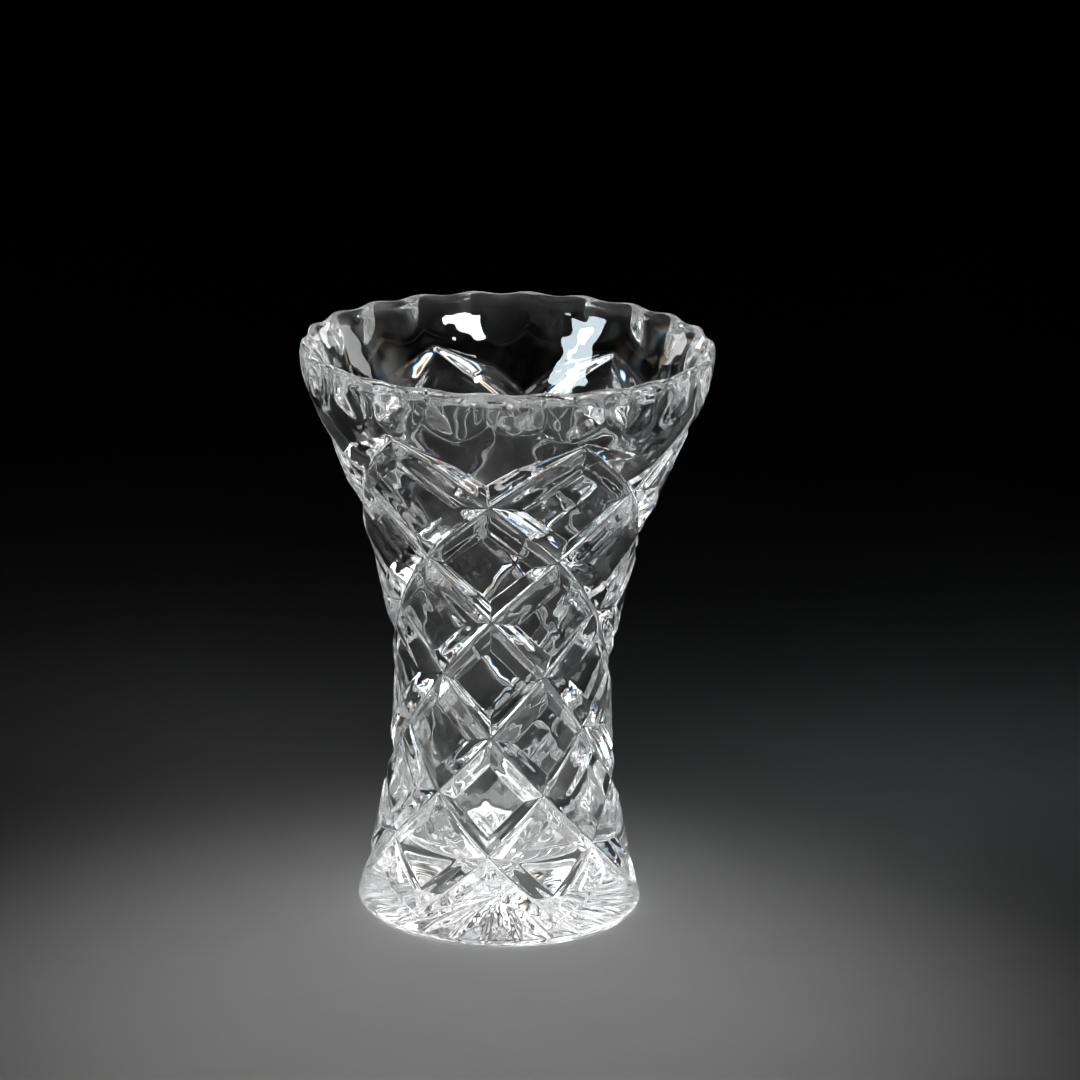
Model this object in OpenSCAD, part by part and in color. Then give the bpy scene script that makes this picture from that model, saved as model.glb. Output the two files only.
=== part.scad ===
// Cut crystal vase: a waisted, flared vase with a lattice of V grooves around raised
// diamonds, shallow flutes outside the lip and a star cut under the foot.
// The glass is one continuous piece. It is modelled as the zones a cutter works on,
// which meet face to face on level planes. Origin: centre of the underside, +Z up.

/* [Body] */
// Height over the lip
height = 170; // [150:1:190]
// Radius of the lip outside, at its widest
rim_r = 60.2; // [57:0.1:64]
// Radius of the waist
waist_r = 31.8; // [30:0.1:34]
// Radius of the foot at its widest
foot_r = 41.5; // [39:0.1:44]
// Height of the waist, as a share of the whole height
waist_share = 0.4; // [0.36:0.01:0.44]
// How suddenly the body opens towards the lip
rim_flare = 1.7; // [1.4:0.01:2]
// How suddenly the body opens towards the foot
foot_flare = 1.8; // [1.4:0.01:2.2]

/* [Glass] */
// Wall at the lip
rim_wall = 6.5; // [5.5:0.1:7.5]
// Wall at the waist
waist_wall = 8.5; // [7.5:0.1:10]
// Solid glass under the hollow
floor_t = 18; // [14:0.5:22]
// Round between the floor and the wall of the hollow
floor_round = 8; // [4:0.5:12]
// Angle at which the hollow widens from its floor to the waist
draft = 1.5; // [0.5:0.1:3]

/* [Lattice] */
// Diamonds around the vase
columns = 6; // [5:1:9]
// Half diamonds from the lowest crossing to the highest
rows = 8; // [6:2:10]
// Depth of a groove
groove_depth = 2.8; // [1:0.1:3.2]
// Height of the lowest crossing, where grooves run out
first_row_z = 8.2; // [7.5:0.1:9]
// Height of the highest crossing, as a share of the whole height
last_row_share = 0.896; // [0.88:0.002:0.904]
// How much taller the upper diamonds are than the lower ones
row_stretch = 0.08; // [0:0.01:0.2]

/* [Rim] */
// Flutes around the lip
flutes = 22; // [14:2:28]
// Depth of a flute at the top
flute_depth = 2.2; // [1:0.1:2.6]
// Height of the round on the lip
lip_round = 5; // [3:0.1:6]

/* [Foot] */
// Rays of the star under the foot
star_rays = 24; // [12:2:32]
// Depth of the star at its centre
star_depth = 3; // [1:0.1:3.4]
// Height of the round at the foot's edge
foot_round = 2.7; // [2:0.1:3.2]
// Width of the level ring that the vase stands on
rest_ring = 3; // [2:0.1:5]

/* [Hidden] */
$fn = 96;
crystal = [0.84, 0.88, 0.9, 0.45];

// Grid steps along one diamond's side; the fifth parts fall on the edges of the grooves.
steps = 5;
// Half the width of a groove, as a share of the distance between parallel grooves.
groove_half = 1 / steps;
// Rows over which a groove runs out, and where it ends past the last crossing.
runout_rows = 0.5;
past_rows = 1 / steps;
// Rows at which the zones meet.
waist_from = 2;
waist_to = 4;

waist_z = waist_share * height;
last_row_z = last_row_share * height;
rim_z = 0.945 * height;
lip_z = height - lip_round;
column_angle = 360 / columns;
waist_in = waist_r - waist_wall;
rim_in = rim_r - rim_wall;
lip_mid = rim_r - rim_wall / 2;
foot_edge_in = 2.5;
rest_r = foot_r - foot_edge_in;
star_r = rest_r - rest_ring;
// Share of the star's radius at which neighbouring rays part.
star_notch = 0.42;
flute_points = 6;
// The inner round of the lip stops short of level, which leaves a narrow flat top.
lip_stop = 70;

// --- shape of the outside ---------------------------------------------------------

// Radius of the uncut body at height z.
function body_r(z) =
    z < waist_z
    ? waist_r + (foot_r - waist_r) * pow((waist_z - max(z, foot_round)) / (waist_z - foot_round), foot_flare)
    : waist_r + (rim_r - waist_r) * pow(min(1, (z - waist_z) / (rim_z - waist_z)), rim_flare);

// Height of row t: rows grow a little taller towards the lip.
function row_z(t) =
    first_row_z
    + (last_row_z - first_row_z) * ((1 - row_stretch) * t / rows + row_stretch * pow(t / rows, 2));

// Depth share at a distance from the middle of a groove, in widths of a diamond.
function vee(across) = max(0, 1 - abs(across) / groove_half);

// The same near the groove's ends: overshoot is how far past its last crossing a point is.
function groove_share(across, overshoot) =
    min(vee(across), max(0, 1 - max(0, overshoot) / groove_half));

// One family of grooves lies on whole values of p, and the other one on whole values of q.
function family_share(p, q) =
    groove_share(p - round(p), max(round(p) + q - rows, -round(p) - q));

// Grooves get shallower as they run out at the foot and below the lip.
function runout(t) =
    max(0, min(1, (t + past_rows) / runout_rows, (rows + past_rows - t) / runout_rows));

// Depth of the cut at row t and column u.
function cut_depth(t, u) =
    groove_depth * runout(t) * max(family_share(t / 2 + u, t / 2 - u), family_share(t / 2 - u, t / 2 + u));

// A point of the cut body. Column one half faces the front, which is -Y.
function body_point(t, u) =
    let (
        angle = (u - 0.5) * column_angle,
        r = body_r(row_z(t)) - cut_depth(t, u)
    )
    [r * sin(angle), -r * cos(angle), row_z(t)];

// Depth of the flutes: each is a scoop, deepest at the top and rounded at its lower end.
function flute_cut(z, angle) =
    let (
        turn = angle * flutes / 360,
        side = 2 * (turn - floor(turn) - 0.5),
        down = (height - z) / (height - row_z(rows + past_rows))
    )
    flute_depth * max(0, 1 - side * side - down * down);

// Radius of the lip without flutes: upright, then a quarter round to the top.
function lip_r(z) =
    z < lip_z
    ? body_r(z)
    : lip_mid + (rim_r - lip_mid) * sqrt(max(0, 1 - pow((z - lip_z) / lip_round, 2)));

function rim_point(z, angle) =
    let (r = min(lip_r(z), rim_r - flute_cut(z, angle), body_r(z)))
    [r * sin(angle), -r * cos(angle), z];

// --- closed shells ----------------------------------------------------------------

// Faces between two rings, the upper one turned half a step from the lower one.
// even is true where the upper ring stands half a step on, and false where half a step back.
function band_faces(low, count, even) =
    [
        for (j = [0 : count - 1])
            let (high = low + count, next = (j + 1) % count)
            each even
                ? [[low + j, high + j, low + next], [low + next, high + j, high + next]]
                : [[low + j, high + j, high + next], [low + j, high + next, low + next]]
    ];

function cap_faces(rings, count) =
    [
        [for (j = [0 : count - 1]) j],
        [for (j = [count - 1 : -1 : 0]) (rings - 1) * count + j]
    ];

// Whether grid point j of grid row m is a crossing of two grooves.
function crossing(m, j) =
    let (side = 2 * j + abs(m % 2))
    (m + side) % (2 * steps) == 0 && (m - side) % (2 * steps) == 0;

// Faces of the lattice: small diamonds from grid row m to m + 2. A small diamond splits
// upright beside a crossing, where two bevels meet in an upright line, and level elsewhere.
function lattice_faces(first, rings, count) =
    [
        for (k = [0 : rings - 3], j = [0 : count - 1])
            let (
                m = first + k,
                odd = abs(m % 2),
                bottom = k * count + j,
                left = (k + 1) * count + (j + odd + count - 1) % count,
                right = (k + 1) * count + (j + odd) % count,
                top = (k + 2) * count + j
            )
            each crossing(m, j) || crossing(m + 2, j)
                ? [[bottom, left, top], [bottom, top, right]]
                : [[bottom, left, right], [left, top, right]]
    ];

// The half diamonds along the first and the last grid row.
function edge_faces(first, rings, count) =
    [
        for (j = [0 : count - 1])
            let (
                odd = abs((first + 1) % 2),
                left = (j + odd + count - 1) % count,
                right = (j + odd) % count
            )
            [left, count + j, right],
        for (j = [0 : count - 1])
            let (
                odd = abs((first + rings) % 2),
                low = (rings - 2) * count,
                high = (rings - 1) * count
            )
            [low + j, high + (j + odd + count - 1) % count, high + (j + odd) % count]
    ];

// Solid glass between two rows of the lattice, cut on its outside.
module cut_drum(from_row, to_row) {
    first = round(from_row * steps);
    last = round(to_row * steps);
    count = columns * steps;
    rings = last - first + 1;
    points = [
        for (m = [first : last], j = [0 : count - 1])
            body_point(m / steps, (j + abs(m % 2) / 2) / steps)
    ];
    polyhedron(
        points = points,
        faces = concat(
            lattice_faces(first, rings, count),
            edge_faces(first, rings, count),
            cap_faces(rings, count)
        ),
        convexity = 6
    );
}

// Solid glass of the rim with its flutes.
module fluted_drum() {
    start_z = row_z(rows + past_rows);
    upright = 4;
    quarter = 6;
    heights = concat(
        [for (k = [0 : upright - 1]) start_z + (lip_z - start_z) * k / upright],
        [for (k = [0 : quarter]) lip_z + lip_round * sin(90 * k / quarter)]
    );
    count = flutes * flute_points;
    points = [
        for (k = [0 : len(heights) - 1], j = [0 : count - 1])
            rim_point(heights[k], (j + (k % 2) / 2) * 360 / count)
    ];
    polyhedron(
        points = points,
        faces = concat(
            [for (k = [0 : len(heights) - 2]) each band_faces(k * count, count, k % 2 == 0)],
            cap_faces(len(heights), count)
        ),
        convexity = 6
    );
}

// --- hollow and foot --------------------------------------------------------------

// Radius of the hollow at height z. It never narrows upwards.
function hollow_r(z) =
    z < waist_z
    ? waist_in - (waist_z - z) * tan(draft)
    : waist_in + (rim_in - waist_in) * pow(min(1, (z - waist_z) / (rim_z - waist_z)), rim_flare);

// The inside of the vase, from its floor to above the lip.
module hollow() {
    corner_z = floor_t + floor_round;
    corner_r = hollow_r(corner_z) - floor_round;
    wall_steps = 24;
    floor_arc = [for (a = [-90 : 15 : 0]) [corner_r + floor_round * cos(a), corner_z + floor_round * sin(a)]];
    wall = [
        for (k = [1 : wall_steps])
            let (z = corner_z + (lip_z - corner_z) * k / wall_steps)
            [hollow_r(z), z]
    ];
    lip_arc = [
        for (a = [10 : 10 : lip_stop])
            [lip_mid - (lip_mid - rim_in) * cos(a), lip_z + lip_round * sin(a)]
    ];
    above = [[lip_mid + 1, height + 1], [0, height + 1]];
    rotate_extrude() polygon(concat([[0, floor_t]], floor_arc, wall, lip_arc, above));
}

// The star: a shallow pyramid over a star outline, so that each ray is a V groove
// that is deepest at the centre.
module star() {
    sides = 2 * star_rays;
    under = 1;
    // The pyramid's faces go on to just under the foot, so the cut has clean edges.
    grow = (star_depth + under) / star_depth;
    outline = [
        for (k = [0 : sides - 1])
            let (r = grow * star_r * (k % 2 == 0 ? 1 : star_notch))
            [r * sin(180 * k / star_rays), -r * cos(180 * k / star_rays), -under]
    ];
    polyhedron(
        points = concat(outline, [[0, 0, star_depth]]),
        faces = concat(
            [[for (k = [0 : sides - 1]) k]],
            [for (k = [0 : sides - 1]) [(k + 1) % sides, k, sides]]
        ),
        convexity = 4
    );
}

// --- zones of the vase ------------------------------------------------------------

module star_cut_foot() {
    top_z = row_z(-past_rows);
    edge = [
        for (a = [-90 : 15 : 0])
            [rest_r + (foot_r - rest_r) * cos(a), foot_round + foot_round * sin(a)]
    ];
    color(crystal) difference() {
        rotate_extrude() polygon(concat([[0, 0]], edge, [[body_r(top_z), top_z], [0, top_z]]));
        star();
    }
}

module lower_body() {
    color(crystal) difference() {
        cut_drum(-past_rows, waist_from);
        hollow();
    }
}

module waist() {
    color(crystal) difference() {
        cut_drum(waist_from, waist_to);
        hollow();
    }
}

module flared_body() {
    color(crystal) difference() {
        cut_drum(waist_to, rows + past_rows);
        hollow();
    }
}

module fluted_rim() {
    color(crystal) difference() {
        fluted_drum();
        hollow();
    }
}

star_cut_foot();
lower_body();
waist();
flared_body();
fluted_rim();
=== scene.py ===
"""Looks of the cut crystal vase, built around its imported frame.

The vase is one piece of clear lead crystal. Each zone of it (foot, lower body, waist, flared
body and rim) is its own closed shell. Where two zones meet, their level faces carry a wholly
transparent material, so that light passes as it does in one piece of glass.
"""

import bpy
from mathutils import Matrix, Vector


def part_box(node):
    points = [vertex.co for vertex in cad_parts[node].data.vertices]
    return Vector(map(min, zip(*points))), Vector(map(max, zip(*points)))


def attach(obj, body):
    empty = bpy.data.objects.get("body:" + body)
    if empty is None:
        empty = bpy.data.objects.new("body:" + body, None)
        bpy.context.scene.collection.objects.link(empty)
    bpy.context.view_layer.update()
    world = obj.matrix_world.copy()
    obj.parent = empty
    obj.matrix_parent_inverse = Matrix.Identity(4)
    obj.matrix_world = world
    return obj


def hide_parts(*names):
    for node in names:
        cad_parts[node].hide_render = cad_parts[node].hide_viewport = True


bl_info = {
    "name": "Cut Crystal Vase",
    "version": (1, 0, 0),
    "blender": (4, 5, 0),
    "location": "View3D > Sidebar > Crystal Vase",
    "description": "Builds a cut crystal vase zone by zone, with its stage",
    "category": "Add Mesh",
}

import math

import bpy
import numpy as np
from bpy.props import FloatProperty, FloatVectorProperty, IntProperty, PointerProperty
from mathutils import Matrix, Vector

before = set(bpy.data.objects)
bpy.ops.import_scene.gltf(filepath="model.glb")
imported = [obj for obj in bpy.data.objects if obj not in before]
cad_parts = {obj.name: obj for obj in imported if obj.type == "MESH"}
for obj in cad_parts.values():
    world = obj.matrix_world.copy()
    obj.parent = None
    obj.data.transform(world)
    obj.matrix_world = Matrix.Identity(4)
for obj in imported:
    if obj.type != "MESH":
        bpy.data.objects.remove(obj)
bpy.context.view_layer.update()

BODY = "root"
ZONES = ("star_cut_foot", "lower_body", "waist", "flared_body", "fluted_rim")

FOOT_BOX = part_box("star_cut_foot")
LOWER_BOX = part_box("lower_body")
WAIST_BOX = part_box("waist")
FLARE_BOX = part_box("flared_body")
RIM_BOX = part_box("fluted_rim")

HEIGHT = RIM_BOX[1][2]
RIM_RADIUS = (RIM_BOX[1][1] - RIM_BOX[0][1]) / 2
FOOT_RADIUS = (FOOT_BOX[1][1] - FOOT_BOX[0][1]) / 2
MM = 0.001

# a piece's materials: the glass first, the level faces inside the glass second
GLASS_SLOT = 0
JOINT_SLOT = 1

# rings of points to one row of the lattice, and half the points to one of its columns
GRID = 36


# --- settings ---------------------------------------------------------------------------


class VaseSizes(bpy.types.PropertyGroup):
    """Sizes of the vase that the frame's boxes don't give."""

    waist_radius: FloatProperty(
        name="Waist radius", description="Radius of the uncut body at its waist",
        default=31.8 * MM, unit="LENGTH", subtype="DISTANCE",
    )
    waist_share: FloatProperty(
        name="Waist height", description="Height of the waist as a share of the whole", default=0.4,
    )
    widest_share: FloatProperty(
        name="Widest height", description="Height at which the body is widest, as a share",
        default=0.945,
    )
    rim_flare: FloatProperty(
        name="Rim flare", description="How suddenly the body opens towards the lip", default=1.7,
    )
    foot_flare: FloatProperty(
        name="Foot flare", description="How suddenly the body opens towards the foot", default=1.8,
    )
    foot_round: FloatProperty(
        name="Foot round", description="Height of the round at the foot's edge",
        default=2.7 * MM, unit="LENGTH", subtype="DISTANCE",
    )
    foot_inset: FloatProperty(
        name="Foot inset", description="How far the resting ring lies inside the foot's edge",
        default=2.5 * MM, unit="LENGTH", subtype="DISTANCE",
    )
    rest_ring: FloatProperty(
        name="Resting ring", description="Width of the level ring around the star",
        default=3 * MM, unit="LENGTH", subtype="DISTANCE",
    )
    rim_wall: FloatProperty(
        name="Rim wall", description="Wall at the lip",
        default=6.5 * MM, unit="LENGTH", subtype="DISTANCE",
    )
    waist_wall: FloatProperty(
        name="Waist wall", description="Wall at the waist",
        default=8.5 * MM, unit="LENGTH", subtype="DISTANCE",
    )
    floor_height: FloatProperty(
        name="Floor", description="Height of the floor of the hollow",
        default=18 * MM, unit="LENGTH", subtype="DISTANCE",
    )
    floor_round: FloatProperty(
        name="Floor round", description="Round between the floor and the wall of the hollow",
        default=8 * MM, unit="LENGTH", subtype="DISTANCE",
    )
    draft: FloatProperty(
        name="Draft", description="Angle at which the hollow widens below the waist",
        default=math.radians(1.5), unit="ROTATION", subtype="ANGLE",
    )
    collar_round: FloatProperty(
        name="Collar round", description="Softness of the bend from the flare to the collar",
        default=2.4 * MM, unit="LENGTH", subtype="DISTANCE",
    )
    lip_round: FloatProperty(
        name="Lip round", description="Height of the round on the lip",
        default=5 * MM, unit="LENGTH", subtype="DISTANCE",
    )


class CutSettings(bpy.types.PropertyGroup):
    """The lattice, the flutes and the star."""

    columns: IntProperty(name="Columns", description="Diamonds around the vase", default=6)
    rows: IntProperty(name="Rows", description="Rows of crossings above the lowest", default=8)
    groove_depth: FloatProperty(
        name="Groove depth", description="Depth of a mitre groove",
        default=2.8 * MM, unit="LENGTH", subtype="DISTANCE",
    )
    groove_half: FloatProperty(
        name="Groove half width", description="Half a groove's width, as a share of a diamond",
        default=0.2,
    )
    runout_rows: FloatProperty(
        name="Run-out", description="Rows over which a groove gets shallower at its end",
        default=0.5,
    )
    past_rows: FloatProperty(
        name="Past the last crossing", description="Rows past the last crossing", default=0.2,
    )
    flutes: IntProperty(name="Flutes", description="Flutes around the lip", default=22)
    flute_depth: FloatProperty(
        name="Flute depth", description="Depth of a flute in its middle",
        default=2.2 * MM, unit="LENGTH", subtype="DISTANCE",
    )
    flute_half: FloatProperty(
        name="Flute half height", description="Half the height of a flute",
        default=9.0 * MM, unit="LENGTH", subtype="DISTANCE",
    )
    lip_dip: FloatProperty(
        name="Lip dip", description="How far the top of the lip dips over a flute",
        default=0.75 * MM, unit="LENGTH", subtype="DISTANCE",
    )
    flute_round: FloatProperty(
        name="Flute round", description="Roundness of a flute's edge, as a share of its depth",
        default=0.3,
    )
    star_rays: IntProperty(name="Star rays", description="Rays of the star", default=24)
    star_depth: FloatProperty(
        name="Star depth", description="Depth of the star at its centre",
        default=3 * MM, unit="LENGTH", subtype="DISTANCE",
    )
    star_notch: FloatProperty(
        name="Star notch", description="Share of the star's radius at which rays part", default=0.6,
    )
    groove_round: FloatProperty(
        name="Groove round", description="Roundness of a groove's bottom, as a share of a diamond",
        default=0.01,
    )
    slot_half: FloatProperty(
        name="Slot half width", description="Half width of the steeper bottom of a groove",
        default=0.042,
    )
    slot_depth: FloatProperty(
        name="Slot depth", description="Depth of a groove's steeper bottom, as a share of its own",
        default=0.2,
    )
    side_bow: FloatProperty(
        name="Side bow", description="Waves across a groove's side, as a share of its depth",
        default=0.035,
    )
    edge_round: FloatProperty(
        name="Edge round", description="Roundness of a groove's edges, as a share of its depth",
        default=0.06,
    )
    streak_height: FloatProperty(
        name="Streak height", description="Height of the fine streaks that run out under the foot",
        default=0.02 * MM, unit="LENGTH", subtype="DISTANCE",
    )
    streak_sway: FloatProperty(
        name="Streak sway", description="Length over which a streak sways to and fro once",
        default=10 * MM, unit="LENGTH", subtype="DISTANCE",
    )
    outer_ripple: FloatProperty(
        name="Outer ripple", description="Height of the waves left by polishing",
        default=0.09 * MM, unit="LENGTH", subtype="DISTANCE",
    )
    inner_ripple: FloatProperty(
        name="Inner ripple", description="Height of the waves left by the mould inside",
        default=0.6 * MM, unit="LENGTH", subtype="DISTANCE",
    )


class CrystalSettings(bpy.types.PropertyGroup):
    """Finish of the crystal."""

    tint: FloatVectorProperty(
        name="Tint", description="Colour of the light that passes", subtype="COLOR",
        size=4, min=0, max=1, default=(0.985, 0.99, 0.992, 1),
    )
    ior: FloatProperty(name="IOR", description="Index of refraction of lead crystal", default=1.545)
    wear: FloatProperty(
        name="Wear", description="Roughness of the scuffed ring under the foot", default=0.1,
    )


class StageSettings(bpy.types.PropertyGroup):
    """Floor, lights and camera."""

    floor_radius: FloatProperty(
        name="Floor radius", description="Radius of the round pale floor",
        default=2.5, unit="LENGTH", subtype="DISTANCE",
    )
    pool_radius: FloatProperty(
        name="Pool radius", description="Radius at which the light on the floor has faded",
        default=0.2, unit="LENGTH", subtype="DISTANCE",
    )
    pool_forward: FloatProperty(
        name="Pool forward", description="How far in front of the vase the pool's middle lies",
        default=0.1, unit="LENGTH", subtype="DISTANCE",
    )
    pool_height: FloatProperty(
        name="Pool light height", description="Height of the light over the floor",
        default=1.2, unit="LENGTH", subtype="DISTANCE",
    )
    pool_power: FloatProperty(
        name="Pool power", description="Power of the light over the floor",
        default=11, unit="POWER",
    )
    floor_gap: FloatProperty(
        name="Floor gap", description="Gap between the floor and the foot",
        default=0.2 * MM, unit="LENGTH", subtype="DISTANCE",
    )
    camera_distance: FloatProperty(
        name="Camera distance", description="Level distance of the camera from the vase's axis",
        default=1.363, unit="LENGTH", subtype="DISTANCE",
    )
    camera_height: FloatProperty(
        name="Camera height", description="Height of the camera above the floor",
        default=0.524, unit="LENGTH", subtype="DISTANCE",
    )
    camera_turn: FloatProperty(
        name="Camera turn", description="Turn of the camera around the vase from the front",
        default=math.radians(5.92), unit="ROTATION", subtype="ANGLE",
    )
    camera_roll: FloatProperty(
        name="Camera roll", description="Turn of the camera around its own line of sight",
        default=math.radians(1.06), unit="ROTATION", subtype="ANGLE",
    )
    aim_height: FloatProperty(
        name="Aim height", description="Height of the point in the middle of the view",
        default=0.1106, unit="LENGTH", subtype="DISTANCE",
    )
    aim_side: FloatProperty(
        name="Aim side", description="How far right of the axis the view's middle lies",
        default=0.01015, unit="LENGTH", subtype="DISTANCE",
    )
    lens: FloatProperty(name="Lens", description="Focal length in millimetres", default=164.4)


# --- shape of the glass -----------------------------------------------------------------


def row_heights():
    """Height as a quadratic of the row number, fitted to the levels at which the zones meet."""
    cut = bpy.context.scene.vase_cuts
    known_rows = [-cut.past_rows, 2, 4, cut.rows + cut.past_rows]
    known_heights = [LOWER_BOX[0][2], LOWER_BOX[1][2], WAIST_BOX[1][2], FLARE_BOX[1][2]]
    return np.polyfit(known_rows, known_heights, 2)


def row_at(z):
    """Row of the lattice at height z: the quadratic of row_heights, solved for the row."""
    bend, slope, start = row_heights()
    return (np.sqrt(slope * slope - 4 * bend * (start - z)) - slope) / (2 * bend)


def body_radius(z):
    """Radius of the uncut body: a power of the height above or below the waist.

    Where the flare reaches the collar's radius, it bends into it in a round.
    """
    size = bpy.context.scene.vase_sizes
    waist_z = size.waist_share * HEIGHT
    widest_z = size.widest_share * HEIGHT
    below = np.clip((waist_z - np.maximum(z, size.foot_round)) / (waist_z - size.foot_round), 0, 1)
    above = np.maximum((z - waist_z) / (widest_z - waist_z), 0)
    flare = (
        size.waist_radius
        + (FOOT_RADIUS - size.waist_radius) * below**size.foot_flare
        + (RIM_RADIUS - size.waist_radius) * above**size.rim_flare
    )
    return RIM_RADIUS - above_zero(RIM_RADIUS - flare, size.collar_round)


def hollow_radius(z):
    """Radius of the hollow: a steady draft below the waist, and a flare like the body's above it.

    The flare goes on without a bend up to the lip's round.
    """
    size = bpy.context.scene.vase_sizes
    waist_z = size.waist_share * HEIGHT
    lip_z = HEIGHT - size.lip_round
    waist_in = size.waist_radius - size.waist_wall
    rim_in = RIM_RADIUS - size.rim_wall
    above = np.clip((z - waist_z) / (lip_z - waist_z), 0, 1.1)
    return (
        waist_in
        - np.maximum(waist_z - z, 0) * math.tan(size.draft)
        + (rim_in - waist_in) * above**size.rim_flare
    )


def ripple(angle, z, height, turn):
    """Waves in the glass: a sum of sines, each with a whole number of waves around and a slant.

    The short waves are lower than the long ones. turn shifts the phases, so that two surfaces
    don't ripple alike.
    """
    around = np.array([2, 3, 5, 7, 8, 11, 13, 14, 17, 19, 21, 33, 38])
    upwards = np.array([95, -140, 190, 30, -310, 360, -90, 480, -390, 620, 160, -900, 800])
    weight = np.array([1.0, 0.9, 0.8, 0.6, 0.4, 0.3, 0.3, 0.24, 0.22, 0.2, 0.2, 0.12, 0.1])
    wave = np.zeros(np.broadcast(angle, z).shape)
    for count, slant, share in zip(around, upwards, weight):
        start = (1.7 + turn) * count
        bend = 0.8 * np.sin(angle + 40 * z + count)
        wave = wave + share * np.sin(count * angle + slant * z + start + bend)
    return height * wave / weight.sum()


def above_zero(x, softness):
    """x where it is positive and zero elsewhere, with a round corner: (x + sqrt(x^2 + s^2)) / 2."""
    return (x + np.sqrt(x * x + softness * softness)) / 2


def family_depth(across_row, along_row, run):
    """Depth share of one family of parallel grooves, which lie on whole values of across_row.

    A V: the run-out share minus the distance from the groove in half widths, with a slightly
    rounded bottom and a steeper slot along it. A sine of one and a half waves bows the sides.
    Past its last crossing a groove ends at the same slope as its sides.
    """
    cut = bpy.context.scene.vase_cuts
    slot_softness = 0.15
    line = np.round(across_row)
    distance = np.sqrt((across_row - line) ** 2 + cut.groove_round**2) - cut.groove_round / 2
    overshoot = np.maximum(line + along_row - cut.rows, -line - along_row)
    full = np.maximum(run, 0)
    slot = cut.slot_depth * above_zero(1 - distance / cut.slot_half, slot_softness) * full
    side = np.clip(distance / cut.groove_half, 0, 1)
    bow = cut.side_bow * np.sin(3 * math.pi * side) * full
    return run + slot + bow - np.maximum(distance, overshoot) / cut.groove_half


def lattice_depths(row, column):
    """Depth of the cut at a row and a column of the lattice, in metres, and which family is deeper.

    The families run along whole values of row / 2 + column and row / 2 - column.
    """
    cut = bpy.context.scene.vase_cuts
    run = np.clip(
        np.minimum(row + cut.past_rows, cut.rows + cut.past_rows - row) / cut.runout_rows, -1, 1
    )
    rising = row / 2 - column
    falling = row / 2 + column
    first = family_depth(falling, rising, run)
    second = family_depth(rising, falling, run)
    deeper = np.maximum(first, second)
    return cut.groove_depth * above_zero(deeper, cut.edge_round), first > second


def around_axis(radius, angle, z):
    """Points at a radius, an angle from the front (-Y, towards +X) and a height."""
    return np.stack([radius * np.sin(angle), -radius * np.cos(angle), z + 0 * angle], axis=-1)


def flute_cut(z, turn):
    """Depth of the flutes: a ring of oval scoops that touch each other at their widest.

    A scoop is one less the squares of the shares across it and down it. Two slow sines move the
    scoops up or down a little and make some deeper, as if they were cut by hand.
    """
    cut = bpy.context.scene.vase_cuts
    uneven_place = 0.08
    uneven_depth = 0.1
    phase = turn * cut.flutes
    side = 2 * (phase - np.floor(phase) - 0.5)
    wobble = np.sin(10 * math.pi * turn + 1) + np.sin(26 * math.pi * turn)
    down = (RIM_BOX[0][2] + cut.flute_half - z) / cut.flute_half + uneven_place * wobble
    scoop = above_zero(1 - side * side - down * down, cut.flute_round)
    return cut.flute_depth * (1 + uneven_depth * wobble) * scoop


def outside_radius(z, turn):
    """Radius of the outside at height z: the uncut body less the grooves and the flutes."""
    cut = bpy.context.scene.vase_cuts
    angle = 2 * math.pi * turn
    grooves, _ = lattice_depths(row_at(z), cut.columns * turn + 0.5)
    waves = ripple(angle, z, cut.outer_ripple, 0)
    return body_radius(z) - grooves - flute_cut(z, turn) + waves


def cut_body(row, turn):
    """Outside of the cut body at a row of the lattice and a turn from 0 to 1 around the axis."""
    z = np.polyval(row_heights(), row)
    return around_axis(outside_radius(z, turn), 2 * math.pi * turn, z)


def hollow_wall(z, turn):
    """Wall of the hollow at height z."""
    cut = bpy.context.scene.vase_cuts
    angle = 2 * math.pi * turn
    return around_axis(hollow_radius(z) + ripple(angle, z, cut.inner_ripple, 2), angle, z)


def hollow_floor(s, turn):
    """Floor of the hollow and the round up to its wall: s is 0 at the axis and 1 on the wall.

    The first part is flat, and the rest is a quarter circle.
    """
    cut = bpy.context.scene.vase_cuts
    size = bpy.context.scene.vase_sizes
    angle = 2 * math.pi * turn
    corner_z = size.floor_height + size.floor_round
    flat_radius = hollow_radius(corner_z) - size.floor_round
    flat_share = 0.6
    bend = np.clip((s - flat_share) / (1 - flat_share), 0, 1) * math.pi / 2
    radius = flat_radius * np.clip(s / flat_share, 0, 1) + size.floor_round * np.sin(bend)
    z = corner_z - size.floor_round * np.cos(bend)
    fade = np.clip(s, 0, 1)
    radius = radius + fade * ripple(angle, z, cut.inner_ripple, 2) * np.sin(bend)
    return around_axis(radius, angle, z)


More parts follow.
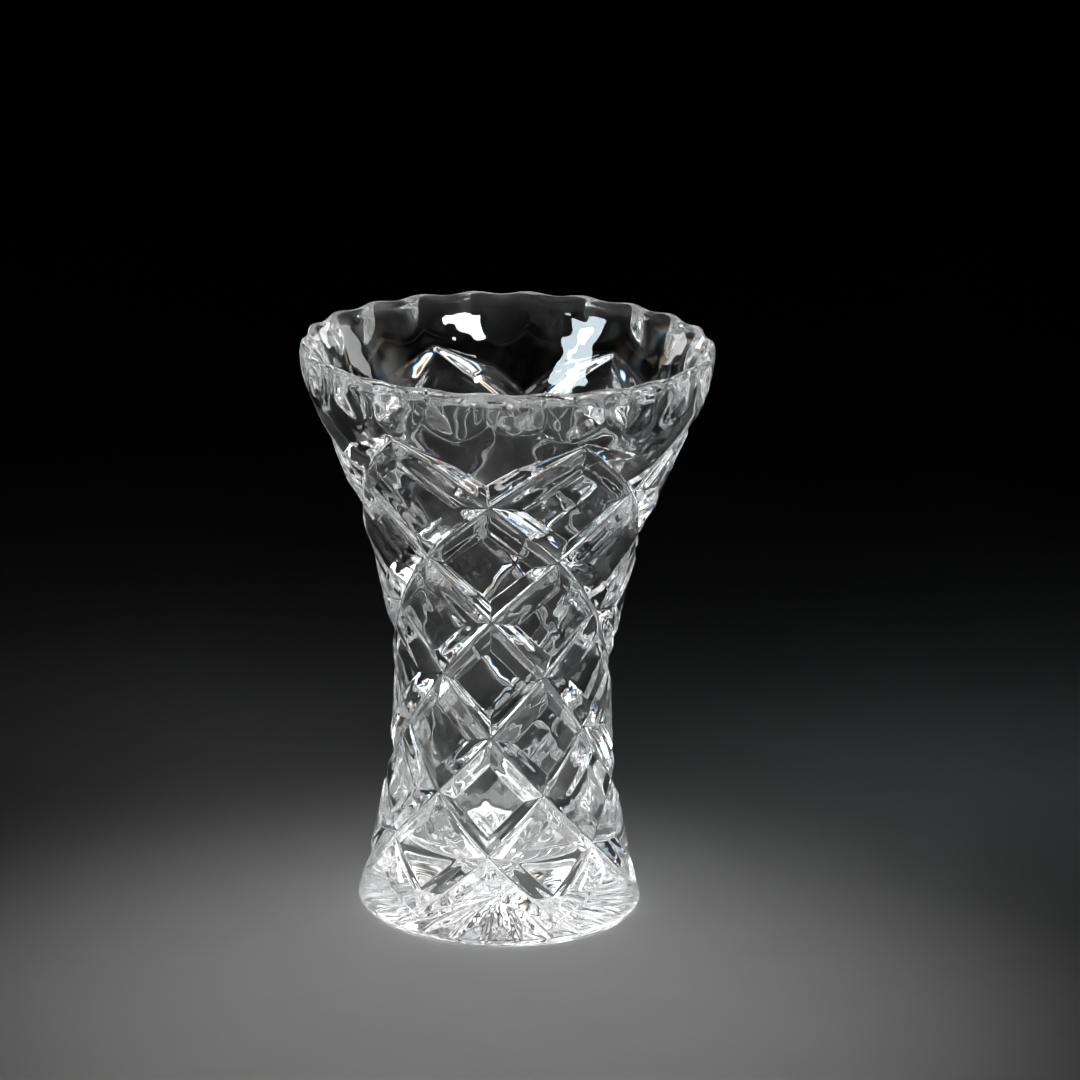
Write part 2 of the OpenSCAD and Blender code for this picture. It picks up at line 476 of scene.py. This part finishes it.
def rim_profile(s, turn):
    """Rim from its lower outer edge (s = 0), up the collar, over the lip and down inside (s = 4).

    0 to 1 is the upright collar, 1 to 3 is the half round of the lip and 3 to 4 the inner wall.
    The half round is sheared outwards on its inner side, so that it starts at the wall's slope.
    The flutes are taken off the outside, and fade out on the top of the lip, which dips a little
    over each of them.
    """
    size = bpy.context.scene.vase_sizes
    cut = bpy.context.scene.vase_cuts
    angle = 2 * math.pi * turn
    low_z = RIM_BOX[0][2]
    lip_z = HEIGHT - size.lip_round
    half = size.rim_wall / 2
    middle = RIM_RADIUS - half
    bend = np.clip(s - 1, 0, 2) * math.pi / 2
    dip = cut.lip_dip * (1 - np.cos(2 * math.pi * cut.flutes * turn)) / 2
    lip_top = lip_z + (size.lip_round - dip) * np.sin(bend)
    z = np.where(
        s < 1,
        low_z + (lip_z - low_z) * s,
        np.where(s < 3, lip_top, lip_z - (lip_z - low_z) * (s - 3)),
    )
    wall_slope = size.rim_flare * (RIM_RADIUS - size.rim_wall - size.waist_radius + size.waist_wall)
    wall_slope = wall_slope / (lip_z - size.waist_share * HEIGHT)
    shear = wall_slope * (z - lip_z) * (1 - np.cos(bend)) / 2
    lip = middle + half * np.cos(bend) + shear
    outer_share = np.clip(2 - s, 0, 1)
    lip = lip - (RIM_RADIUS - body_radius(z)) * outer_share
    lip = lip - flute_cut(z, turn) * np.clip(2.3 - s, 0, 1)
    inner_waves = ripple(angle, z, cut.inner_ripple, 2)
    lip = lip + ripple(angle, z, cut.outer_ripple, 0) * outer_share
    lip = lip + inner_waves * np.clip(s - 2, 0, 1)
    inside = hollow_radius(z) + inner_waves
    radius = np.where(s < 1, outside_radius(z, turn), np.where(s < 3, lip, inside))
    return around_axis(radius, angle, z)


def foot_side(s, turn):
    """Foot from its resting ring (s = 0) over the quarter round (s = 1) up to the body (s = 2)."""
    size = bpy.context.scene.vase_sizes
    angle = 2 * math.pi * turn
    bend = np.clip(s, 0, 1) * math.pi / 2
    rest = FOOT_RADIUS - size.foot_inset
    rise = np.clip(s - 1, 0, 1)
    z = size.foot_round * (1 - np.cos(bend)) + (FOOT_BOX[1][2] - size.foot_round) * rise
    edge = rest + size.foot_inset * np.sin(bend)
    side = body_radius(z) + rise * (outside_radius(z, turn) - body_radius(z))
    return around_axis(np.where(s < 1, edge, side), angle, z)


def star_outline(turn):
    """Radius of the star's outline: the straight edge from a tip to a notch, in polar form.

    The angle from the tip follows a cosine, so that rays and ridges are rounded.
    """
    cut = bpy.context.scene.vase_cuts
    size = bpy.context.scene.vase_sizes
    half_ray = math.pi / cut.star_rays
    phase = turn * cut.star_rays
    off_tip = half_ray * (1 - np.cos(2 * math.pi * phase)) / 2
    tip = FOOT_RADIUS - size.foot_inset - size.rest_ring
    notch = tip * cut.star_notch
    return tip * notch * math.sin(half_ray) / (
        tip * np.sin(off_tip) + notch * np.sin(half_ray - off_tip)
    )


def star_under(s, turn):
    """Underside from the axis (s = 0) to the outer edge of the resting ring (s = 1).

    Inside the star's outline it is a shallow pyramid, and outside it is level. Fine streaks that
    run outwards and sway from side to side, three to a ray, are added to both.
    """
    cut = bpy.context.scene.vase_cuts
    size = bpy.context.scene.vase_sizes
    angle = 2 * math.pi * turn
    rest = FOOT_RADIUS - size.foot_inset
    radius = rest * s
    edge_softness = 0.05
    z = cut.star_depth * above_zero(1 - radius / star_outline(turn), edge_softness)
    inside = np.clip((rest - radius) / size.rest_ring, 0, 1) * np.clip(4 * s, 0, 1)
    sway = 2 * np.sin(2 * math.pi * radius / cut.streak_sway + 3 * np.sin(3 * angle))
    streaks = cut.streak_height * (1 + np.sin(3 * cut.star_rays * angle + sway))
    z = np.maximum(z + inside * (streaks + ripple(3 * angle, 2 * radius, cut.outer_ripple, 1)), 0)
    return around_axis(radius, angle, z)


# --- closed shells ----------------------------------------------------------------------


def surface_band(shape, rows, count, step=0.02, slant=None):
    """One band of a shell: rings of points of shape(row, turn), with their normals.

    A normal is the cross product of the shape's differences around and along, taken over a
    small step, so that it is the same where a ring ends one zone and starts the next.
    """
    around_share = 0.35
    rows = np.asarray(rows, float)
    turn = np.arange(count) / count
    across, around = np.meshgrid(rows, turn, indexing="ij")
    points = shape(across, around)
    around_step = around_share / count
    along = shape(across + step, around) - shape(across - step, around)
    sideways = shape(across, around + around_step) - shape(across, around - around_step)
    normals = np.cross(sideways, along)
    length = np.linalg.norm(normals, axis=-1, keepdims=True)
    normals = normals / np.maximum(length, 1e-12)
    return {"points": points, "normals": normals, "slot": GLASS_SLOT, "slant": slant}


def level_band(start, end, up, rings=1):
    """A level face between two rings of points, on the plane where two zones meet."""
    share = np.linspace(0, 1, rings + 1)[:, None, None]
    points = start[None] * (1 - share) + end[None] * share
    normals = np.zeros_like(points)
    normals[..., 2] = 1 if up else -1
    return {"points": points, "normals": normals, "slot": JOINT_SLOT, "slant": None}


def axis_ring(z, count):
    """A ring of no radius: the pole of a shell."""
    ring = np.zeros((count, 3))
    ring[:, 2] = z
    return ring


def shell_mesh(name, bands, closed_ring):
    """A closed mesh from bands that follow each other, each starting on the last ring before it.

    A ring on the axis is one vertex. A quad splits along the slant that its band gives, and a
    triangle with two equal corners is left out. closed_ring joins the last ring to the first.
    """
    count = bands[0]["points"].shape[1]
    vertices = []
    triangles = []
    corners = []
    slots = []
    used = 0
    last_ids = None
    first_ids = None
    for number, band in enumerate(bands):
        points = band["points"]
        rings = points.shape[0]
        ids = np.empty((rings, count), int)
        for k in range(rings):
            if k == 0 and last_ids is not None:
                ids[k] = last_ids
            elif closed_ring and number == len(bands) - 1 and k == rings - 1:
                ids[k] = first_ids
            elif np.abs(points[k, :, :2]).max() < 1e-9:
                ids[k] = used
                vertices.append(points[k, :1])
                used += 1
            else:
                ids[k] = used + np.arange(count)
                vertices.append(points[k])
                used += count
        if first_ids is None:
            first_ids = ids[0]
        last_ids = ids[-1]
        low, high = ids[:-1], ids[1:]
        a, b = low, np.roll(low, -1, axis=1)
        d, c = high, np.roll(high, -1, axis=1)
        normals = band["normals"]
        na, nb = normals[:-1], np.roll(normals[:-1], -1, axis=1)
        nd, nc = normals[1:], np.roll(normals[1:], -1, axis=1)
        slant = band["slant"]
        if slant is None:
            slant = np.zeros(a.shape, bool)
        pick = slant[..., None]
        one = np.where(pick, np.stack([a, b, d], -1), np.stack([a, b, c], -1))
        two = np.where(pick, np.stack([b, c, d], -1), np.stack([a, c, d], -1))
        pick = pick[..., None]
        one_n = np.where(pick, np.stack([na, nb, nd], -2), np.stack([na, nb, nc], -2))
        two_n = np.where(pick, np.stack([nb, nc, nd], -2), np.stack([na, nc, nd], -2))
        both = np.concatenate([one.reshape(-1, 3), two.reshape(-1, 3)])
        both_n = np.concatenate([one_n.reshape(-1, 3, 3), two_n.reshape(-1, 3, 3)])
        whole = (both[:, 0] != both[:, 1]) & (both[:, 1] != both[:, 2]) & (both[:, 2] != both[:, 0])
        triangles.append(both[whole])
        corners.append(both_n[whole])
        slots.append(np.full(int(whole.sum()), band["slot"]))
    vertices = np.concatenate(vertices)
    triangles = np.concatenate(triangles)
    corners = np.concatenate(corners)
    slots = np.concatenate(slots)
    mesh = bpy.data.meshes.new(name)
    mesh.vertices.add(len(vertices))
    mesh.vertices.foreach_set("co", vertices.astype(np.float32).ravel())
    mesh.loops.add(triangles.size)
    mesh.loops.foreach_set("vertex_index", triangles.astype(np.int32).ravel())
    mesh.polygons.add(len(triangles))
    mesh.polygons.foreach_set("loop_start", (3 * np.arange(len(triangles))).astype(np.int32))
    mesh.polygons.foreach_set("material_index", slots.astype(np.int32))
    mesh.polygons.foreach_set("use_smooth", np.ones(len(triangles), bool))
    mesh.update(calc_edges=True)
    mesh.normals_split_custom_set(corners.reshape(-1, 3))
    return mesh


def lattice_slant(rows, count):
    """Which way quads split, so that edges follow the deeper family of grooves."""
    cut = bpy.context.scene.vase_cuts
    middle_rows = (rows[:-1] + rows[1:]) / 2
    turn = (np.arange(count) + 0.5) / count
    across, around = np.meshgrid(middle_rows, turn, indexing="ij")
    _, falling = lattice_depths(across, cut.columns * around + 0.5)
    return falling


def place(name, mesh):
    """Puts a finished zone in the scene: it replaces its node and rides on the vase's body."""
    piece = bpy.data.objects.new(name + "_glass", mesh)
    bpy.context.scene.collection.objects.link(piece)
    mesh.materials.append(crystal_material())
    mesh.materials.append(joint_material())
    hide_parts(name)
    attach(piece, BODY)
    return piece


# --- materials --------------------------------------------------------------------------


def crystal_material():
    """Polished lead crystal: clear, with faint polishing ripples and a scuffed resting ring."""
    name = "lead_crystal"
    if name in bpy.data.materials:
        return bpy.data.materials[name]
    look = bpy.context.scene.vase_crystal
    material = bpy.data.materials.new(name)
    material.use_nodes = True
    nodes = material.node_tree.nodes
    links = material.node_tree.links
    shader = nodes["Principled BSDF"]
    shader.inputs["Base Color"].default_value = look.tint
    shader.inputs["Transmission Weight"].default_value = 1
    shader.inputs["IOR"].default_value = look.ior
    shader.inputs["Roughness"].default_value = 0
    place_node = nodes.new("ShaderNodeTexCoord")

    polish = nodes.new("ShaderNodeTexNoise")
    polish.inputs["Scale"].default_value = 130
    polish.inputs["Detail"].default_value = 2
    polish.inputs["Roughness"].default_value = 0.4
    bump = nodes.new("ShaderNodeBump")
    bump.inputs["Strength"].default_value = 1
    bump.inputs["Distance"].default_value = 0.012 * MM
    links.new(place_node.outputs["Object"], polish.inputs["Vector"])
    links.new(polish.outputs["Fac"], bump.inputs["Height"])
    links.new(bump.outputs["Normal"], shader.inputs["Normal"])

    height = nodes.new("ShaderNodeSeparateXYZ")
    ring = nodes.new("ShaderNodeMapRange")
    ring.inputs["From Min"].default_value = 0.05 * MM
    ring.inputs["From Max"].default_value = 0.5 * MM
    ring.inputs["To Min"].default_value = look.wear
    ring.inputs["To Max"].default_value = 0
    links.new(place_node.outputs["Object"], height.inputs["Vector"])
    links.new(height.outputs["Z"], ring.inputs["Value"])
    links.new(ring.outputs["Result"], shader.inputs["Roughness"])
    return material


def joint_material():
    """Wholly transparent: the level plane inside the glass where two zones meet."""
    name = "inside_the_glass"
    if name in bpy.data.materials:
        return bpy.data.materials[name]
    material = bpy.data.materials.new(name)
    material.use_nodes = True
    nodes = material.node_tree.nodes
    nodes.clear()
    output = nodes.new("ShaderNodeOutputMaterial")
    clear = nodes.new("ShaderNodeBsdfTransparent")
    material.node_tree.links.new(clear.outputs["BSDF"], output.inputs["Surface"])
    return material


def floor_material():
    """Matt pale grey with a faint mottle."""
    material = bpy.data.materials.new("pale_floor")
    material.use_nodes = True
    nodes = material.node_tree.nodes
    links = material.node_tree.links
    shader = nodes["Principled BSDF"]
    shader.inputs["Roughness"].default_value = 0.7
    shader.inputs["Specular IOR Level"].default_value = 0
    place_node = nodes.new("ShaderNodeTexCoord")
    mottle = nodes.new("ShaderNodeTexNoise")
    mottle.inputs["Scale"].default_value = 40
    ramp = nodes.new("ShaderNodeValToRGB")
    ramp.color_ramp.elements[0].color = (0.74, 0.74, 0.735, 1)
    ramp.color_ramp.elements[1].color = (0.8, 0.8, 0.795, 1)
    links.new(place_node.outputs["Object"], mottle.inputs["Vector"])
    links.new(mottle.outputs["Fac"], ramp.inputs["Fac"])
    links.new(ramp.outputs["Color"], shader.inputs["Base Color"])
    return material


# --- stage ------------------------------------------------------------------------------


def pale_floor():
    """A round pale floor under the vase."""
    stage = bpy.context.scene.vase_stage
    count = 180
    radii = np.array([1.0, 0.5])
    angle = 2 * math.pi * np.arange(count) / count
    rings = [around_axis(stage.floor_radius * share, angle, -stage.floor_gap) for share in radii]
    points = np.concatenate(rings + [np.array([[0, 0, -stage.floor_gap]])])
    following = (np.arange(count) + 1) % count
    here = np.arange(count)
    quads = np.stack([here, following, following + count, here + count], -1).tolist()
    fan = np.stack([here + count, following + count, np.full(count, 2 * count)], -1).tolist()
    mesh = bpy.data.meshes.new("pale_floor")
    mesh.from_pydata(points.tolist(), [], quads + fan)
    mesh.materials.append(floor_material())
    floor = bpy.data.objects.new("pale_floor", mesh)
    bpy.context.scene.collection.objects.link(floor)


def light_group(name, objects):
    """A collection that says which objects a light falls on, or which ones block it."""
    group = bpy.data.collections.new(name)
    for item in objects:
        group.objects.link(item)
    return group


def softbox(name, place, aim, width, height, power, colour):
    """A rectangular soft light that faces a point and falls on the vase only."""
    light = bpy.data.lights.new(name, "AREA")
    light.shape = "RECTANGLE"
    light.size = width
    light.size_y = height
    light.energy = power
    light.color = colour
    lamp = bpy.data.objects.new(name, light)
    bpy.context.scene.collection.objects.link(lamp)
    lamp.location = place
    direction = Vector(aim) - Vector(place)
    lamp.rotation_euler = direction.to_track_quat("-Z", "Y").to_euler()
    glass = [bpy.data.objects[zone + "_glass"] for zone in ZONES]
    lamp.light_linking.receiver_collection = light_group(name + "_on", glass)
    lamp.visible_camera = False


def studio_lights():
    """Softboxes behind the vase and beside it, and windows in front of it and above it."""
    middle = (0, 0, HEIGHT / 2)
    white = (1, 1, 1)
    cool = (0.8, 0.94, 1)
    softbox("back_left_softbox", (-0.6, 1.2, 0.5), middle, 0.15, 0.8, 1.6, white)
    softbox("back_right_softbox", (0.6, 1.2, 0.5), middle, 0.15, 0.8, 1.6, white)
    softbox("left_softbox", (-1.0, 0.8, 0.35), middle, 0.3, 0.6, 2.2, white)
    softbox("right_softbox", (1.0, 0.8, 0.35), middle, 0.3, 0.6, 2.2, white)
    softbox("left_window", (-0.717, -0.623, 0.8), middle, 0.45, 0.22, 5, cool)
    softbox("left_window_pane", (-0.68, -0.6, 0.745), middle, 0.13, 0.12, 1.8, white)
    softbox("right_window", (0.6, -0.74, 0.935), middle, 0.42, 0.09, 3, white)


def floor_light():
    """A soft pool of light on the floor around the vase, which fades outwards."""
    stage = bpy.context.scene.vase_stage
    light = bpy.data.lights.new("floor_light", "SPOT")
    light.energy = stage.pool_power
    light.spot_size = 2 * math.atan(stage.pool_radius / stage.pool_height)
    light.spot_blend = 1
    light.shadow_soft_size = 0.05
    lamp = bpy.data.objects.new("floor_light", light)
    bpy.context.scene.collection.objects.link(lamp)
    lamp.location = (0, -stage.pool_forward, stage.pool_height)
    floor = [bpy.data.objects["pale_floor"]]
    lamp.light_linking.receiver_collection = light_group("floor_light_on", floor)
    lamp.light_linking.blocker_collection = light_group("floor_light_blocked_by", floor)


def sky_bands(tree, height, shift, level_names):
    """Brightness of the room by the height of a direction, moved up or down by a small shift.

    A ramp eases between levels: dark, dusk and white windows above the horizon.
    """
    moved = tree.nodes.new("ShaderNodeMath")
    moved.operation = "ADD"
    moved.inputs[1].default_value = shift
    bands = tree.nodes.new("ShaderNodeValToRGB")
    bands.color_ramp.interpolation = "EASE"
    steps = [
        (0.0, "dark"), (0.01, "white"), (0.045, "white"), (0.06, "dusk"), (0.1, "dusk"),
        (0.12, "white"), (0.2, "white"), (0.23, "dark"), (0.3, "dusk"), (0.36, "white"),
        (0.5, "dusk"), (0.75, "white"),
    ]
    ramp = bands.color_ramp.elements
    for number, (place_on_ramp, name) in enumerate(steps):
        if number >= len(ramp):
            ramp.new(place_on_ramp)
        ramp[number].position = place_on_ramp
        level = level_names[name]
        ramp[number].color = (level, level, level, 1)
    tree.links.new(height, moved.inputs[0])
    tree.links.new(moved.outputs["Value"], bands.inputs["Fac"])
    return bands.outputs["Color"]


def bright_room():
    """A world that only the glass shows: an uneven soft white above the horizon, dim below it.

    The three colours' bands are slightly apart, so that their edges carry the faint blue and
    orange fringes that lead crystal gives.
    """
    world = bpy.data.worlds.new("bright_room")
    bpy.context.scene.world = world
    world.cycles_visibility.camera = False
    world.cycles_visibility.diffuse = False
    world.use_nodes = True
    nodes = world.node_tree.nodes
    links = world.node_tree.links
    background = nodes["Background"]
    direction = nodes.new("ShaderNodeTexCoord")
    height = nodes.new("ShaderNodeSeparateXYZ")
    patches = nodes.new("ShaderNodeTexNoise")
    patches.inputs["Scale"].default_value = 3.5
    patches.inputs["Detail"].default_value = 2
    contrast = nodes.new("ShaderNodeMapRange")
    contrast.inputs["From Min"].default_value = 0.38
    contrast.inputs["From Max"].default_value = 0.6
    contrast.inputs["To Min"].default_value = 0.12
    contrast.inputs["To Max"].default_value = 1
    links.new(direction.outputs["Generated"], height.inputs["Vector"])
    links.new(direction.outputs["Generated"], patches.inputs["Vector"])
    links.new(patches.outputs["Fac"], contrast.inputs["Value"])
    fringe = nodes.new("ShaderNodeCombineColor")
    levels = [
        {"dark": 0.035, "dusk": 0.14, "white": 1.9},
        {"dark": 0.03, "dusk": 0.13, "white": 1.9},
        {"dark": 0.026, "dusk": 0.122, "white": 1.9},
    ]
    for channel, shift in enumerate((-0.004, 0, 0.004)):
        band = sky_bands(world.node_tree, height.outputs["Z"], shift, levels[channel])
        links.new(band, fringe.inputs[channel])
    links.new(fringe.outputs["Color"], background.inputs["Color"])
    front = nodes.new("ShaderNodeMapRange")
    front.inputs["From Min"].default_value = -0.2
    front.inputs["From Max"].default_value = 0.4
    front.inputs["To Min"].default_value = 0.15
    front.inputs["To Max"].default_value = 1
    strength = nodes.new("ShaderNodeMath")
    strength.operation = "MULTIPLY"
    links.new(height.outputs["Y"], front.inputs["Value"])
    links.new(contrast.outputs["Result"], strength.inputs[0])
    links.new(front.outputs["Result"], strength.inputs[1])
    links.new(strength.outputs["Value"], background.inputs["Strength"])


def camera():
    """A long lens a little above the vase, turned slightly to the right of its front."""
    stage = bpy.context.scene.vase_stage
    back = Vector((math.sin(stage.camera_turn), -math.cos(stage.camera_turn), 0))
    right = Vector((math.cos(stage.camera_turn), math.sin(stage.camera_turn), 0))
    place_point = back * stage.camera_distance + Vector((0, 0, stage.camera_height))
    aim = right * stage.aim_side + Vector((0, 0, stage.aim_height))
    turn = (aim - place_point).to_track_quat("-Z", "Y").to_matrix().to_4x4()
    lens = bpy.data.cameras.new("camera")
    lens.sensor_width = 36
    lens.lens = stage.lens
    lens.clip_start = 0.01
    eye = bpy.data.objects.new("camera", lens)
    bpy.context.scene.collection.objects.link(eye)
    eye.matrix_world = (
        Matrix.Translation(place_point) @ turn @ Matrix.Rotation(stage.camera_roll, 4, "Z")
    )
    bpy.context.scene.camera = eye


def light_paths():
    """Enough bounces for light that is thrown to and fro inside cut glass, and a plain view."""
    bounces = 32
    scene = bpy.context.scene
    scene.cycles.max_bounces = bounces
    scene.cycles.glossy_bounces = bounces
    scene.cycles.transmission_bounces = bounces
    scene.cycles.transparent_max_bounces = bounces
    scene.view_settings.view_transform = "Standard"


# --- operators --------------------------------------------------------------------------


class VASE_OT_foot(bpy.types.Operator):
    """Foot with its rounded edge, its resting ring and the star cut under it."""

    bl_idname = "vase.foot"
    bl_label = "Foot"

    def execute(self, context):
        count = 720
        side = surface_band(foot_side, np.linspace(0, 2, 25), count, step=0.03)
        under = surface_band(star_under, np.linspace(0, 1, 109), count, step=0.002)
        under["points"][-1] = side["points"][0]
        under["normals"][0] = (0, 0, -1)
        under["normals"][-1] = (0, 0, -1)
        top = level_band(side["points"][-1], axis_ring(FOOT_BOX[1][2], count), True, 3)
        place("star_cut_foot", shell_mesh("star_cut_foot", [under, side, top], False))
        return {"FINISHED"}


def lattice_band(first_row, last_row):
    """Outside of the cut body between two rows of the lattice, which need not lie on the grid."""
    cut = bpy.context.scene.vase_cuts
    rows = np.arange(math.floor(first_row * GRID), math.ceil(last_row * GRID) + 1) / GRID
    rows = np.clip(rows, first_row, last_row)
    count = 2 * GRID * cut.columns
    return surface_band(cut_body, rows, count, slant=lattice_slant(rows, count))


def hollow_band(top_z, low_z, count):
    """Wall of the hollow from top_z down to low_z."""
    ring_height = 1.2 * MM
    rings = int((top_z - low_z) / ring_height) + 2
    depths = np.linspace(-top_z, -low_z, rings)
    return surface_band(lambda z, turn: hollow_wall(-z, turn), depths, count, step=0.2 * MM)


def ring_zone(name, first_row, last_row, box):
    """A zone with the hollow through it: outside, level top, hollow wall and level underside."""
    outside = lattice_band(first_row, last_row)
    count = outside["points"].shape[1]
    inside = hollow_band(box[1][2], box[0][2], count)
    top = level_band(outside["points"][-1], inside["points"][0], True)
    bottom = level_band(inside["points"][-1], outside["points"][0], False)
    place(name, shell_mesh(name, [outside, top, inside, bottom], True))


class VASE_OT_lower_body(bpy.types.Operator):
    """Flare above the foot, with the solid floor and the bottom of the hollow."""

    bl_idname = "vase.lower_body"
    bl_label = "Lower body"

    def execute(self, context):
        cut = context.scene.vase_cuts
        size = context.scene.vase_sizes
        outside = lattice_band(-cut.past_rows, 2)
        count = outside["points"].shape[1]
        corner_z = size.floor_height + size.floor_round
        wall = hollow_band(LOWER_BOX[1][2], corner_z, count)
        floor = surface_band(
            lambda s, turn: hollow_floor(1 - s, turn), np.linspace(0, 1, 25), count, step=0.01
        )
        floor["normals"][-1] = (0, 0, 1)
        bottom = level_band(axis_ring(LOWER_BOX[0][2], count), outside["points"][0], False, 3)
        top = level_band(outside["points"][-1], wall["points"][0], True)
        bands = [bottom, outside, top, wall, floor]
        place("lower_body", shell_mesh("lower_body", bands, False))
        return {"FINISHED"}


class VASE_OT_waist(bpy.types.Operator):
    """Narrow middle of the vase."""

    bl_idname = "vase.waist"
    bl_label = "Waist"

    def execute(self, context):
        ring_zone("waist", 2, 4, WAIST_BOX)
        return {"FINISHED"}


class VASE_OT_flared_body(bpy.types.Operator):
    """Opening upper body, up to the run-out of the top grooves."""

    bl_idname = "vase.flared_body"
    bl_label = "Flared body"

    def execute(self, context):
        cut = context.scene.vase_cuts
        ring_zone("flared_body", 4, cut.rows + cut.past_rows, FLARE_BOX)
        return {"FINISHED"}


class VASE_OT_rim(bpy.types.Operator):
    """Upright collar and rounded lip with its flutes."""

    bl_idname = "vase.rim"
    bl_label = "Fluted rim"

    def execute(self, context):
        cut = context.scene.vase_cuts
        count = 18 * cut.flutes
        rim = surface_band(rim_profile, np.linspace(0, 4, 97), count, step=0.03)
        bottom = level_band(rim["points"][-1], rim["points"][0], False)
        place("fluted_rim", shell_mesh("fluted_rim", [rim, bottom], True))
        return {"FINISHED"}


class VASE_OT_stage(bpy.types.Operator):
    """Pale floor, soft lights, dim room and camera."""

    bl_idname = "vase.stage"
    bl_label = "Stage"

    def execute(self, context):
        pale_floor()
        studio_lights()
        floor_light()
        bright_room()
        light_paths()
        camera()
        return {"FINISHED"}


class VASE_PT_panel(bpy.types.Panel):
    """The vase's zones and its stage."""

    bl_label = "Crystal Vase"
    bl_idname = "VASE_PT_panel"
    bl_space_type = "VIEW_3D"
    bl_region_type = "UI"
    bl_category = "Crystal Vase"

    def draw(self, context):
        column = self.layout.column()
        for operator in OPERATORS:
            column.operator(operator.bl_idname)


SETTINGS = {
    "vase_sizes": VaseSizes,
    "vase_cuts": CutSettings,
    "vase_crystal": CrystalSettings,
    "vase_stage": StageSettings,
}
OPERATORS = (
    VASE_OT_foot,
    VASE_OT_lower_body,
    VASE_OT_waist,
    VASE_OT_flared_body,
    VASE_OT_rim,
    VASE_OT_stage,
)


def register():
    """Adds the settings, the operators and the panel to Blender."""
    for name, group in SETTINGS.items():
        bpy.utils.register_class(group)
        setattr(bpy.types.Scene, name, PointerProperty(type=group))
    for operator in OPERATORS:
        bpy.utils.register_class(operator)
    bpy.utils.register_class(VASE_PT_panel)


def unregister():
    """Takes the panel, the operators and the settings out of Blender again."""
    bpy.utils.unregister_class(VASE_PT_panel)
    for operator in reversed(OPERATORS):
        bpy.utils.unregister_class(operator)
    for name, group in SETTINGS.items():
        delattr(bpy.types.Scene, name)
        bpy.utils.unregister_class(group)


def main():
    """Builds the vase and its stage."""
    register()
    bpy.ops.vase.foot()
    bpy.ops.vase.lower_body()
    bpy.ops.vase.waist()
    bpy.ops.vase.flared_body()
    bpy.ops.vase.rim()
    bpy.ops.vase.stage()


if __name__ == "__main__":
    main()
